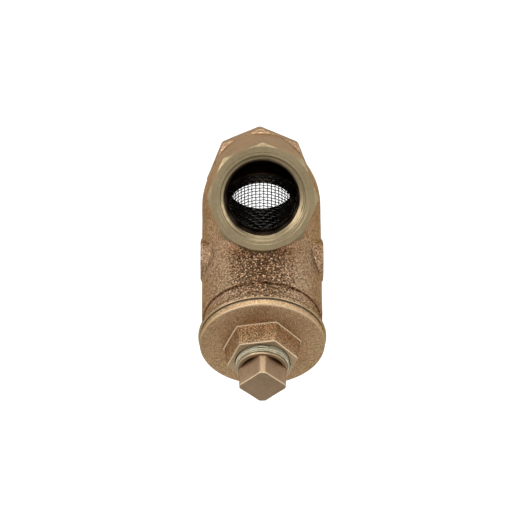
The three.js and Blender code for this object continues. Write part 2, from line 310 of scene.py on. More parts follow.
def cast_finish(name, light, dark, grain=1700.0, bump=0.00045, rough=0.4, rugged=1.0, crotch_shade=0.0):
    """Sand-cast bronze: clouded tan, with painted shade in the grain's pits and a painted highlight on its
    tops. The grain is calm above the run's centre line, where the mould wall was finer. Painted shade, tinted
    orange as painted light reflected between bronze faces, darkens the hollows found by ambient occlusion
    and, where asked for, the crotch between the outlet and the branch, where the grain's painted glints show
    through it."""
    material, tree, shader, place = new_finish(name)
    sand = use(tree, sand_grain, Vector=place, Grain=grain)
    tone = use(tree, tone_drift, Vector=place, Size=55.0)
    level = put(tree, "SeparateXYZ", {"Vector": place}).outputs["Z"]
    fall = put(tree, "MapRange", {"Value": level, 1: 0.004, 2: -0.022, 3: CALM * rugged, 4: rugged})
    depth = fall.outputs[0]
    colour = blend_colours(tree, tone.outputs["Tone"], (*dark, 1), (*light, 1))
    # Painted shade: ambient occlusion darkens hollows, creases and steps, with an orange tint standing in for
    # light reflected between bronze faces.
    shade = put(tree, "AmbientOcclusion", {"Distance": 0.014}, samples=6)
    hollow = put(tree, "MapRange", {"Value": shade.outputs["AO"], 1: 0.9, 2: 0.4, 3: 0.0, 4: 1.0})
    colour = blend_colours(tree, hollow.outputs[0], colour, (0.75, 0.45, 0.24, 1), "MULTIPLY")
    # Painted shade and painted reflected light: an orange-brown patch in the crotch between the outlet end
    # and the branch, which also raises the grain's painted pits and glints there.
    if crotch_shade:
        narrow = put(tree, "VectorMath", {0: place, 1: (1.0, 1.5, 1.0)}, operation="MULTIPLY").outputs[0]
        away = put(tree, "VectorMath", {0: narrow, 1: CROTCH}, operation="DISTANCE").outputs["Value"]
        crotch = put(tree, "MapRange", {"Value": away, 1: 0.022, 2: 0.003, 3: 0.0, 4: crotch_shade}).outputs[0]
        colour = blend_colours(tree, crotch, colour, (0.6, 0.38, 0.21, 1), "MULTIPLY")
        depth = sums(tree, "MULTIPLY_ADD", crotch, 2.9, depth)
    # Painted shade in the grain's pits and a painted highlight, as glints, on its tops.
    pits = sums(tree, "MULTIPLY", sand.outputs["Pits"], sums(tree, "MULTIPLY", depth, 0.78), clamp=True)
    colour = blend_colours(tree, pits, colour, (*(0.3 * v for v in dark), 1))
    tops = sums(tree, "MULTIPLY", sand.outputs["Tops"], sums(tree, "MULTIPLY", depth, 0.42), clamp=True)
    colour = blend_colours(tree, tops, colour, (*(2.1 * v for v in light), 1))
    tree.links.new(colour, shader.inputs["Base Color"])
    sheen = put(tree, "MapRange", {"Value": tone.outputs["Tone"], 3: rough - 0.07, 4: rough + 0.09})
    tree.links.new(sheen.outputs[0], shader.inputs["Roughness"])
    shader.inputs["Metallic"].default_value = 1.0
    shader.inputs["Specular Tint"].default_value = EDGE_TINT
    lift = sums(tree, "MULTIPLY", sand.outputs["Height"], depth)
    relief = put(tree, "Bump", {"Height": lift, "Distance": bump, "Strength": 1.0})
    tree.links.new(relief.outputs[0], shader.inputs["Normal"])
    return material


SAND_LIGHT, SAND_DARK = (0.4, 0.28, 0.18), (0.29, 0.195, 0.12)
sand_bronze = cast_finish("sand_cast_bronze", SAND_LIGHT, SAND_DARK, 1230.0, 0.0005, rugged=0.88, crotch_shade=1.0)
# Painted shade: a near-black copy of the cast bronze for the cored inside of the body and the cap's plug
# hole, where little light reaches.
dark_inside = cast_finish("painted_shade_inside", (0.05, 0.033, 0.02), (0.03, 0.02, 0.013))

points, quads = skin_of(casting_field, (-60.0, -27.0, -68.0), (67.0, 27.0, 26.0), 0.75)
middle = points[quads].mean(1)
# Faces of the cored hollows take the painted shade.
cored = (core_field(middle[:, 0], middle[:, 1], middle[:, 2]) < 0.25).astype(int)
casting = piece_from("body_casting", points, quads, "casting", [sand_bronze, dark_inside], cored, crease=50)
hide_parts("body")

# ==== The machined pipe ends ====
# Each end of the casting is faced in a lathe, chamfered at its corners, countersunk, and tapped
# with a tapering 1 in pipe thread that runs out above a plain round waterway.
ACROSS, UPRIGHT, OUTWARD = np.eye(3)[1], np.eye(3)[2], np.eye(3)[0]
RUN_OUT = (ACROSS, UPRIGHT, OUTWARD)
RUN_IN = (-ACROSS, UPRIGHT, -OUTWARD)
PIPE_PITCH = 25.4 / 11.5
PIPE_DEPTH = 1.45
PIPE_R = 14.85
SINK_R = 17.15
TAPER = 1 / 32


def round_grid(radius, height, turns, axes):
    """Points of a surface round an axis: row by row along a profile, column by column round it."""
    across, upright, outward = axes
    radius, height = np.broadcast_arrays(radius, height)
    wide, tall = radius * np.cos(turns), radius * np.sin(turns)
    return wide[..., None] * across + tall[..., None] * upright + height[..., None] * outward


def close_grid(rows, columns, looped):
    """Quads between neighbouring rows and columns, closed round the columns and, if looped, the rows."""
    t, k = np.meshgrid(np.arange(rows - (not looped)), np.arange(columns), indexing="ij")
    up, on = (t + 1) % rows, (k + 1) % columns
    quads = np.stack([t * columns + k, t * columns + on, up * columns + on, up * columns + k], -1)
    return quads.reshape(-1, 4)


def thread_wave(height, turns, pitch):
    """A right-hand thread as 0 at its crests to 1 at its roots: a triangle wave, cut flat at both ends."""
    phase = (height / pitch - turns / (2 * np.pi)) % 1
    return np.clip(1.25 * (1 - 2 * np.abs(phase - 0.5)) - 0.125, 0, 1)


def turns_of(count):
    """Evenly spaced angles round an axis."""
    return np.arange(count) * 2 * np.pi / count


def make_lathe_marks():
    """Fine rings left by a turning tool round the X axis: noise of the distance along and from it."""
    tree, start, end = effect(
        "lathe_marks", {"Vector": "Vector", "Rings": "Float"}, {"Height": "Float", "Tone": "Float"}
    )
    parts = put(tree, "SeparateXYZ", {"Vector": start.outputs["Vector"]})
    square = sums(tree, "MULTIPLY", parts.outputs["Y"], parts.outputs["Y"])
    square = sums(tree, "MULTIPLY_ADD", parts.outputs["Z"], parts.outputs["Z"], square)
    far = sums(tree, "SQRT", square)
    cut = put(tree, "CombineXYZ", {"X": parts.outputs["X"], "Y": far})
    rings = put(tree, "TexNoise", {"Vector": cut.outputs[0], "Scale": start.outputs["Rings"], "Detail": 2.0})
    wide = sums(tree, "MULTIPLY", start.outputs["Rings"], 0.22)
    bands = put(tree, "TexNoise", {"Vector": cut.outputs[0], "Scale": wide, "Detail": 1.0})
    tree.links.new(rings.outputs[0], end.inputs["Height"])
    tree.links.new(bands.outputs[0], end.inputs["Tone"])
    return tree


lathe_marks = make_lathe_marks()


def turned_finish(name, colour, dull, tilt=0.0, rough=0.34, bump=0.00004):
    """Bronze cut bright in a lathe: fine rings, faint dull bands and a little staining."""
    material, tree, shader, place = new_finish(name)
    level = put(tree, "Mapping", {"Vector": place, "Rotation": (0.0, tilt, 0.0)}).outputs[0]
    marks = use(tree, lathe_marks, Vector=level, Rings=4200.0)
    tone = use(tree, tone_drift, Vector=place, Size=90.0)
    half_tone = sums(tree, "MULTIPLY", tone.outputs[0], 0.5)
    mixed = sums(tree, "MULTIPLY_ADD", marks.outputs["Tone"], 0.5, half_tone)
    tree.links.new(blend_colours(tree, mixed, (*dull, 1), (*colour, 1)), shader.inputs["Base Color"])
    gloss = put(tree, "MapRange", {"Value": mixed, 1: 0.3, 2: 0.8, 3: rough + 0.1, 4: rough - 0.05})
    tree.links.new(gloss.outputs[0], shader.inputs["Roughness"])
    shader.inputs["Metallic"].default_value = 1.0
    shader.inputs["Specular Tint"].default_value = EDGE_TINT
    relief = put(tree, "Bump", {"Height": marks.outputs["Height"], "Distance": bump, "Strength": 1.0})
    tree.links.new(relief.outputs[0], shader.inputs["Normal"])
    return material


run_bright = turned_finish("turned_bronze_run", (0.28, 0.222, 0.13), (0.175, 0.135, 0.078))


def bore_finish():
    """Cut threads with painted shade: tan bronze that turns brown-black a little way into the bore, where no
    light reaches.
    """
    material, tree, shader, place = new_finish("thread_painted_shade")
    along = put(tree, "SeparateXYZ", {"Vector": place}).outputs["X"]
    reach = sums(tree, "ABSOLUTE", along)
    # Painted shade a little way into the bore, where the thread goes brown-black.
    deep = put(tree, "MapRange", {"Value": reach, 1: 0.0573, 2: 0.0562, 3: 0.0, 4: 1.0})
    tone = use(tree, tone_drift, Vector=place, Size=240.0)
    metal = blend_colours(tree, tone.outputs[0], (0.2, 0.15, 0.08, 1), (0.36, 0.28, 0.16, 1))
    colour = blend_colours(tree, deep.outputs[0], metal, (0.018, 0.012, 0.008, 1))
    tree.links.new(colour, shader.inputs["Base Color"])
    gloss = put(tree, "MapRange", {"Value": tone.outputs[0], 3: 0.34, 4: 0.5})
    tree.links.new(gloss.outputs[0], shader.inputs["Roughness"])
    shader.inputs["Metallic"].default_value = 1.0
    shader.inputs["Specular Tint"].default_value = EDGE_TINT
    return material


thread_dark = bore_finish()


def octagon_radius(turns):
    """Radius of the rounded octagon in each direction, closing in on where its distance is zero."""
    radius = np.full(turns.shape, HALF_FLATS)
    for _ in range(12):
        radius = radius - octagon(radius * np.cos(turns), radius * np.sin(turns))
    return radius


def pipe_end(name, axes):
    """One machined end: flats, corner chamfer, face, countersink, thread, waterway and hidden back."""
    turns = turns_of(240)
    side = octagon_radius(turns)
    face_r = np.minimum(20.75, side)
    chamfer = FACE - (side - face_r) * math.tan(math.radians(32))
    outer = [(FACE - 1.9, side), (chamfer - 0.05, side), (chamfer, side)]
    face = [(FACE, face_r), (FACE, 0.5 * face_r + 9.35), (FACE, 18.55), (FACE - 0.14, 18.35)]
    face += [(FACE - 0.14, SINK_R + 0.15), (FACE - 0.2, SINK_R)]
    depth = np.arange(0.3, 18.6, PIPE_PITCH / 12)
    thread = []
    for d in depth:
        fade = min(1.0, (18.6 - d) / 3.5)
        groove = PIPE_DEPTH * fade * thread_wave(d, turns, PIPE_PITCH)
        sink = SINK_R - 1.5 * (d - 0.3) - 0.12 * math.sin(7.0 * d)
        thread.append((FACE - d, np.maximum(PIPE_R - TAPER * d + groove, sink)))
    back = [
        (SOCKET_BOTTOM, PIPE_R - 0.6),
        (SOCKET_BOTTOM, 14.1),
        (SOCKET_BOTTOM - 0.3, 13.8),
        (WATERWAY_BACK + 0.3, 13.8),
        (WATERWAY_BACK, 14.1),
        (WATERWAY_BACK, LINER_R + 0.3),
        (FACE - 1.9, LINER_R + 0.3),
    ]
    rows = outer + face + thread + back
    height = np.stack([np.broadcast_to(h, turns.shape) for h, r in rows])
    radius = np.stack([np.broadcast_to(r, turns.shape) for h, r in rows])
    wave = 0.06 + sand_waves(FACE - 1.9, radius * np.cos(turns), radius * np.sin(turns))
    radius = radius + wave * (np.arange(len(rows)) < 2)[:, None]
    quads = close_grid(len(rows), len(turns), True)
    row = quads[:, 0] // len(turns)
    finish = np.where(row < 1, 1, np.where(row < len(outer) + len(face) + 9, 0, 2))
    points = round_grid(radius, height, turns, axes).reshape(-1, 3)
    metals = [run_bright, sand_bronze, thread_dark]
    made = piece_from(name, points, quads, "casting", metals, finish, crease=24)
    return made


pipe_end("outlet_end", RUN_OUT)
pipe_end("inlet_end", RUN_IN)

# ==== The branch's collar ====
# The casting's branch ends in a collar set in behind a sharp crease, which flares to a rim. The
# rim's face is turned flat for the gasket, and the mouth is tapped straight, 16 threads to the inch.
BRANCH = (ACROSS, np.array([LEAN, 0, LEAN]), np.array([LEAN, 0, -LEAN]))
RIM_FACE = 79.3
RIM_R = 25.5
COLLAR_R = 23.35
CREASE = 69.9
CAP_PITCH = 25.4 / 16
CAP_THREAD_R = 20.35
TILT = math.radians(-45)
branch_bright = turned_finish("turned_bronze_branch", (0.46, 0.35, 0.21), (0.3, 0.22, 0.13), TILT)


def curve_between(start, end, bulge, count):
    """Points on a quarter-like curve from start to end, drawn towards the bulge point in between."""
    t = np.linspace(0, 1, count)[:, None]
    start, end, bulge = np.array(start), np.array(end), np.array(bulge)
    return (1 - t) ** 2 * start + 2 * t * (1 - t) * bulge + t**2 * end


def collar():
    """Outer wall, crease, flare, rim, face, mouth chamfer, thread and a back hidden in the casting."""
    turns = turns_of(240)
    outer = [
        (COLLAR_SEAM, BRANCH_R + 0.06),
        (67.6, BRANCH_R),
        (68.8, BRANCH_R),
        *curve_between((69.2, BRANCH_R), (CREASE, COLLAR_R - 0.25), (69.9, BRANCH_R), 5),
        (CREASE + 0.35, COLLAR_R - 0.25),
        (CREASE + 0.8, COLLAR_R),
        (72.5, COLLAR_R),
        *curve_between((74.2, COLLAR_R), (77.6, RIM_R - 0.15), (76.3, COLLAR_R + 0.2), 10),
        *curve_between((77.6, RIM_R - 0.1), (78.1, RIM_R), (77.75, RIM_R), 4),
        (78.95, RIM_R),
        *curve_between((79.0, RIM_R), (RIM_FACE, RIM_R - 0.2), (RIM_FACE, RIM_R), 4),
        (RIM_FACE, 23.0),
        (RIM_FACE, CAP_THREAD_R + 1.15),
    ]
    rows = [(h, np.full(turns.shape, r)) for h, r in outer]
    for d in np.arange(0.05, 11.4, CAP_PITCH / 10):
        fade = min(1.0, (11.4 - d) / 2.0)
        height = RIM_FACE - d
        groove = 0.9 * fade * thread_wave(-height, turns, CAP_PITCH)
        rows.append((height, np.maximum(CAP_THREAD_R + groove, CAP_THREAD_R + 1.1 - d)))
    rows += [(h, np.full(turns.shape, CAVITY_R - 0.05)) for h in (67.4, COLLAR_SEAM)]
    height = np.stack([np.full(turns.shape, h) for h, r in rows])
    radius = np.stack([r for h, r in rows])
    points = round_grid(radius, height, turns, BRANCH)
    count = len(outer)
    wave = sand_waves(points[..., 0], points[..., 1], points[..., 2])
    radius = radius + wave * (np.arange(len(rows)) < count - 6)[:, None]
    points = round_grid(radius, height, turns, BRANCH).reshape(-1, 3)
    quads = close_grid(len(rows), len(turns), True)
    row = quads[:, 0] // len(turns)
    bright = ((row >= count - 7) & (row < len(rows) - 1)).astype(int)
    metals = [sand_bronze, branch_bright]
    made = piece_from("branch_collar", points, quads, "casting", metals, bright, crease=28)


collar()

# ==== The screen's seat ====
# The hole through the slanting wall is bored in two steps, and the screen's mouth stands on the
# shoulder between them.
SEAT_SHOULDER = 0.8


def turned_piece(name, profile, axes, body, finish, count=180, crease=28):
    """A ring turned from a closed list of (height, radius) points, up its outside and down its inside."""
    turns = turns_of(count)
    profile = np.array(profile, float)
    points = round_grid(profile[:, 1:], profile[:, :1], turns, axes).reshape(-1, 3)
    made = piece_from(name, points, close_grid(len(profile), count, True), body, finish, crease=crease)
    return made


seat_profile = [
    (WALL_TOP - 0.06, 16.0),
    (WALL_FOOT + 0.06, 16.0),
    (WALL_FOOT + 0.06, 15.0),
    (WALL_FOOT - 0.4, 14.5),
    (SEAT_SHOULDER, 14.5),
    (SEAT_SHOULDER, 13.7),
    (SEAT_SHOULDER - 0.3, 13.4),
    (WALL_TOP + 0.3, 13.4),
    (WALL_TOP - 0.06, 13.8),
]
turned_piece("screen_seat", seat_profile, BRANCH, "casting", [branch_bright])

# ==== The wire screen ====
# Plain-woven stainless wire cloth, 16 meshes to the inch, rolled into a cylinder. The wires that run
# along it and the wires that run round it pass over and under each other in turn. A rolled strip
# stiffens each end from inside, and a folded strip locks the seam on the side towards the inlet.
SCREEN_R = 13.8
WIRE_R = 0.2
SCREEN_MOUTH, SCREEN_FOOT = 1.05, 77.15
WIRES_ROUND = 54
CRIMP = 0.21


def steel_finish(name, colour, rough, scratch):
    """Drawn or rolled stainless steel: grey with a faint drift, and fine scratches as bump."""
    material, tree, shader, place = new_finish(name)
    tone = use(tree, tone_drift, Vector=place, Size=300.0)
    grey = blend_colours(tree, tone.outputs[0], (*(0.7 * v for v in colour), 1), (*colour, 1))
    tree.links.new(grey, shader.inputs["Base Color"])
    sheen = put(tree, "MapRange", {"Value": tone.outputs[0], 3: rough, 4: rough + 0.12})
    tree.links.new(sheen.outputs[0], shader.inputs["Roughness"])
    shader.inputs["Metallic"].default_value = 1.0
    shader.inputs["Specular Tint"].default_value = EDGE_TINT
    lines = put(tree, "TexNoise", {"Vector": place, "Scale": scratch, "Detail": 2.0})
    relief = put(tree, "Bump", {"Height": lines.outputs[0], "Distance": 0.00001, "Strength": 0.7})
    tree.links.new(relief.outputs[0], shader.inputs["Normal"])
    return material


# The wire's grey is a darker copy of the strip's: painted shade for the cloth inside the body.
shaded_wire_steel = steel_finish("stainless_wire", (0.36, 0.345, 0.32), 0.32, 5000.0)
strip_steel = steel_finish("stainless_strip", (0.56, 0.54, 0.5), 0.33, 2500.0)


def wires(name, centre, side, lift, closed):
    """Round wires along many paths at once. centre[path, step] are the paths' points, and side and
    lift the two directions square to them; each step carries a ring of six points. An open wire's
    ends are drawn to a point, and a closed wire joins on itself."""
    paths, steps = centre.shape[:2]
    turns = turns_of(6)
    size = np.full(steps, WIRE_R)
    if not closed:
        size[[0, -1]] = 0.02
    ring = side[:, :, None] * np.cos(turns)[:, None] + lift[:, :, None] * np.sin(turns)[:, None]
    points = centre[:, :, None] + ring * size[:, None, None]
    one = close_grid(steps, 6, closed).tolist()
    if not closed:
        one += [[5, 4, 3, 2, 1, 0], list(range(steps * 6 - 6, steps * 6))]
    faces = [[corner + n * steps * 6 for corner in face] for n in range(paths) for face in one]
    made = piece_from(name, points.reshape(-1, 3), faces, "screen", [shaded_wire_steel], crease=80)
    return made


def branch_points(turns, radius, height):
    """Points at an angle, radius and height on the branch's axis."""
    across, upright, outward = BRANCH
    wide, tall = radius * np.cos(turns), radius * np.sin(turns)
    return wide[..., None] * across + tall[..., None] * upright + height[..., None] * outward


def screen_cloth():
    """Warp along the screen and weft round it: each rises over one crossing and dips under the next."""
    pitch = 2 * np.pi * SCREEN_R / WIRES_ROUND
    count = int((SCREEN_FOOT - SCREEN_MOUTH) / pitch)
    first = SCREEN_MOUTH + 0.5 * (SCREEN_FOOT - SCREEN_MOUTH - (count - 1) * pitch)
    along = np.linspace(SCREEN_MOUTH, SCREEN_FOOT, count * 3)[None, :]
    angle = turns_of(WIRES_ROUND)[:, None]
    parity = 1 - 2 * (np.arange(WIRES_ROUND) % 2)[:, None]
    wave = CRIMP * parity * np.cos(np.pi * (along - first) / pitch)
    angle, along, radius = np.broadcast_arrays(angle, along, SCREEN_R + wave)
    centre = branch_points(angle, radius, along)
    outward = branch_points(angle, np.ones(angle.shape), np.zeros(angle.shape))
    sideways = branch_points(angle + np.pi / 2, np.ones(angle.shape), np.zeros(angle.shape))
    warp = wires("screen_warp", centre, outward, sideways, False)
    height = (first + np.arange(count) * pitch)[:, None]
    round_turns = turns_of(WIRES_ROUND * 4)[None, :]
    parity = 1 - 2 * (np.arange(count) % 2)[:, None]
    radius = SCREEN_R - CRIMP * parity * np.cos(round_turns * WIRES_ROUND / 2)
    round_turns, height, radius = np.broadcast_arrays(round_turns, height, radius)
    centre = branch_points(round_turns, radius, height)
    outward = branch_points(round_turns, np.ones(radius.shape), np.zeros(radius.shape))
    lengthways = np.broadcast_to(BRANCH[2], centre.shape)
    wires("screen_weft", centre, lengthways, outward, True)
    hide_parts("screen_mesh")


screen_cloth()


def end_band(name, low, high, node):
    """A strip rolled into a ring inside the cloth, its two edges turned in to round lips."""
    wall, r = 0.3, 13.28
    profile = [
        (low, r - 0.12),
        (low + 0.1, r),
        (low + 0.4, r),
        *[(low + 0.4 + n * (high - low - 0.8) / 4, r) for n in range(1, 5)],
        (high - 0.1, r),
        (high, r - 0.12),
        (high, r - wall),
        (high - 0.5, r - wall),
        *[(high - 0.5 - n * (high - low - 1) / 4, r - wall) for n in range(1, 5)],
        (low, r - wall),
    ]
    made = turned_piece(name, profile, BRANCH, "screen", [strip_steel], count=96)
    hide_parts(node)


end_band("mouth_band", SCREEN_MOUTH, 8.5, "screen_mouth_band")
end_band("foot_band", 69.5, SCREEN_FOOT, "screen_foot_band")


def seam_strip():
    """A folded strip along the cloth: a flat oval section, pressed down every 6 mm by a spot weld."""
    steps, sides, middle = 232, 16, 14.55
    along = np.linspace(10.0, 68.0, steps)
    turns = turns_of(sides)
    spot = np.exp(-(((along % 6.0) - 3.0) ** 2) / 0.35)
    width = 2.45 - 0.1 * spot
    thick = (0.2 - 0.07 * spot)[:, None] * np.sign(np.sin(turns)) * np.abs(np.sin(turns)) ** 0.35
    wide = width[:, None] * np.sign(np.cos(turns)) * np.abs(np.cos(turns)) ** 0.45
    ends = np.ones(steps)
    ends[[0, -1]] = 0.02
    radius = middle + thick * ends[:, None]
    angle = -np.pi / 2 + wide * ends[:, None] / middle
    points = branch_points(angle, radius, np.broadcast_to(along[:, None], radius.shape))
    faces = close_grid(steps, sides, False)[:, ::-1].tolist()
    faces += [list(range(sides)), list(range((steps - 1) * sides, steps * sides))[::-1]]
    made = piece_from("seam_strip", points.reshape(-1, 3), faces, "screen", [strip_steel], crease=60)
    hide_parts("screen_seam_strip")


seam_strip()

# ==== The cap's gasket ====
# A flat ring stamped from compressed fibre sheet, squeezed between the rim and the cap's flange.


def fibre_finish():
    """Compressed fibre: dark brown, matt, with a short felted fleck."""
    material, tree, shader, place = new_finish("gasket_fibre")
    fleck = put(tree, "TexNoise", {"Vector": place, "Scale": 1600.0, "Detail": 4.0, "Roughness": 0.7})
    colour = blend_colours(tree, fleck.outputs[0], (0.05, 0.038, 0.028, 1), (0.15, 0.12, 0.09, 1))
    tree.links.new(colour, shader.inputs["Base Color"])
    shader.inputs["Roughness"].default_value = 0.85
    relief = put(tree, "Bump", {"Height": fleck.outputs[0], "Distance": 0.00008, "Strength": 0.8})
    tree.links.new(relief.outputs[0], shader.inputs["Normal"])
    return material


fibre = fibre_finish()
gasket = frame["nodes"]["cap_gasket"]
gasket.data.materials.clear()
gasket.data.materials.append(fibre)

# ==== The screwed cap ====
# A second bronze casting: a threaded skirt that holds the screen's foot in a recess, a round flange
# with a turned edge, and a hexagon boss whose top is faced and tapped for a 1/2 in pipe plug.
FLANGE_BACK = 80.0
FLANGE_FRONT = 83.0
FLANGE_R = 25.0
SKIRT_END = 69.0
RECESS_R = 14.9
CAP_FLOOR = 77.5
BOSS_TOP = 91.6
BOSS_HALF_FLATS = 12.5
BOSS_TURN = math.radians(10)
PLUG_PITCH = 25.4 / 14
PLUG_HOLE_R = 9.9


def hexagon_radius(turns, half_flats, blunt):
    """Radius of a hexagon in each direction, its corners cut blunt by a circle."""
    off = (turns - BOSS_TURN) % (np.pi / 3) - np.pi / 6
    return -soft_max(-half_flats / np.cos(off), np.full(turns.shape, -blunt), 0.5)


def screwed_cap():
    """Skirt thread, flange, boss, plug thread, floor and recess, as one closed profile round the axis."""
    turns = turns_of(360)
    flat = np.ones(turns.shape)
    rows = [(SKIRT_END, (CAP_THREAD_R - 1.1) * flat), (SKIRT_END + 0.3, (CAP_THREAD_R - 0.85) * flat)]
    for h in np.arange(SKIRT_END + 0.4, 78.3, CAP_PITCH / 10):
        fade = min(1.0, (h - SKIRT_END) / 1.0, (78.4 - h) / 1.2)
        ridge = 0.85 * fade * thread_wave(-h - 0.1, turns, CAP_PITCH)
        rows.append((h, CAP_THREAD_R - 0.87 + ridge))
    back, front, wide = FLANGE_BACK, FLANGE_FRONT, FLANGE_R
    outer = [
        (78.5, 19.5),
        (FLANGE_BACK - 0.2, 19.5),
        (FLANGE_BACK, 19.8),
        (FLANGE_BACK, 22.4),
        (FLANGE_BACK, FLANGE_R - 0.2),
        *curve_between((back, wide - 0.18), (back + 0.2, wide), (back, wide), 4),
        (back + 1.2, wide),
        *curve_between((front - 0.95, wide), (front - 0.22, wide - 0.85), (front - 0.25, wide), 6),
        (FLANGE_FRONT - 0.12, 22.5),
        (FLANGE_FRONT, 19.5),
    ]
    rows += [(h, r * flat) for h, r in outer]
    count = len(rows)
    foot = hexagon_radius(turns, BOSS_HALF_FLATS + 0.75, 15.15)
    top = hexagon_radius(turns, BOSS_HALF_FLATS, 14.3)
    rows += [(FLANGE_FRONT + 0.04, foot + 1.3), (FLANGE_FRONT + 0.1, foot + 0.75)]
    rows += [(FLANGE_FRONT + 0.35, foot + 0.3), (FLANGE_FRONT + 0.9, foot)]
    wall = BOSS_TOP - FLANGE_FRONT - 0.9
    for share in (0.25, 0.5, 0.75, 0.93):
        rows.append((FLANGE_FRONT + 0.9 + share * wall, foot + share * (top - foot)))
    rows += [(BOSS_TOP - 0.3, top - 0.02), (BOSS_TOP, top - 0.36)]
    edge = len(rows)
    rows += [(BOSS_TOP, 0.5 * top + 5.5), (BOSS_TOP, 11.0 * flat), (BOSS_TOP - 0.15, 10.87 * flat)]
    for d in np.arange(0.2, BOSS_TOP - CAP_FLOOR - 0.4, PLUG_PITCH / 10):
        groove = 1.15 * thread_wave(d, turns, PLUG_PITCH)
        rows.append((BOSS_TOP - d, np.maximum(PLUG_HOLE_R - TAPER * d + groove, 10.87 - 0.6 * d)))
    inner = [
        (CAP_FLOOR + 0.2, PLUG_HOLE_R - 0.45),
        (CAP_FLOOR, PLUG_HOLE_R - 0.1),
        (CAP_FLOOR, 12.5),
        (CAP_FLOOR, RECESS_R - 0.5),
        (CAP_FLOOR - 0.5, RECESS_R),
        (73.0, RECESS_R),
        (SKIRT_END + 0.7, RECESS_R),
        (SKIRT_END, RECESS_R + 0.7),
    ]
    rows += [(h, r * flat) for h, r in inner]
    height = np.stack([np.broadcast_to(h, turns.shape) for h, r in rows])
    radius = np.stack([np.broadcast_to(r, turns.shape) for h, r in rows])
    points = round_grid(radius, height, turns, BRANCH)
    index = np.arange(len(rows))
    cast_rows = (index > count - 2) & (index < edge - 2)
    wave = sand_waves(points[..., 0] + 31, points[..., 1] + 17, points[..., 2])
    height = height + 1.2 * (wave - 0.08) * ((index > count - 3) & (index < count + 3))[:, None]
    radius = radius + wave * cast_rows[:, None]
    points = round_grid(radius, height, turns, BRANCH).reshape(-1, 3)
    quads = close_grid(len(rows), len(turns), True)
    row = quads[:, 0] // len(turns)
    band = (row >= count - 10) & (row < count - 8)
    finish = (band | ((row >= count - 5) & (row < edge - 1)) | (row > len(rows) - 8)).astype(int)
    finish[(row >= count) & (row < edge - 2)] = 2
    # The boss's top edge and foot take the painted edge highlight.
    finish[(row == edge - 2) | (row == count + 1)] = 3
    # The tapped hole for the plug takes the painted shade.
    finish[(row > edge + 1) & (row < len(rows) - 8)] = 4
    metals = [cap_bright, cap_cast, boss_cast, edge_highlight, dark_inside]
    made = piece_from("cap_casting", points, quads, "cap", metals, finish, crease=26)
    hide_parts("retainer_cap")


# The flange's cast skin is a lighter copy of the cast bronze: painted light, making up for the light its
# down-turned face lacks.
cap_cast = cast_finish("sand_cast_cap", (0.56, 0.385, 0.225), (0.42, 0.28, 0.155), 2100.0, 0.0003, rugged=0.8)
boss_cast = cast_finish("sand_cast_boss", (0.46, 0.31, 0.18), (0.31, 0.21, 0.115), 1950.0, 0.0004, rugged=1.2)
cap_bright = turned_finish("turned_bronze_cap", (0.5, 0.375, 0.235), (0.36, 0.265, 0.16), TILT, 0.46)
# A painted highlight: a much lighter copy of the turned bronze for thin bevels on the boss's top edge and
# foot and on the plug head's front edges.
edge_highlight = turned_finish("edge_painted_highlight", (0.72, 0.56, 0.38), (0.52, 0.4, 0.26), TILT, 0.4)
screwed_cap()

# ==== The blow-off plug ====
# A cast 1/2 in pipe plug: a tapering threaded shank and a square head, its corners blunt and turned
# to the run. Round the foot of the head the casting is cored back behind a thin rim.
PLUG_SHOULDER = 95.3
PLUG_TIP = 80.6
PLUG_FRONT = 104.15
PLUG_R = 10.3
HEAD_HALF = 7.3
HEAD_BLUNT = 9.1


def square_radius(turns, half, blunt):
    """Radius of a square that stands on its corner, the corners cut off flat at a given reach, the two
    side ones a little further out."""
    quarter = (turns + np.pi / 4) % (np.pi / 2) - np.pi / 4
    flats = half / np.cos((turns % (np.pi / 2)) - np.pi / 4)
    reach = blunt + 0.3 * np.cos(turns) ** 2
    return soft_min(flats, reach / np.cos(quarter), 0.45)


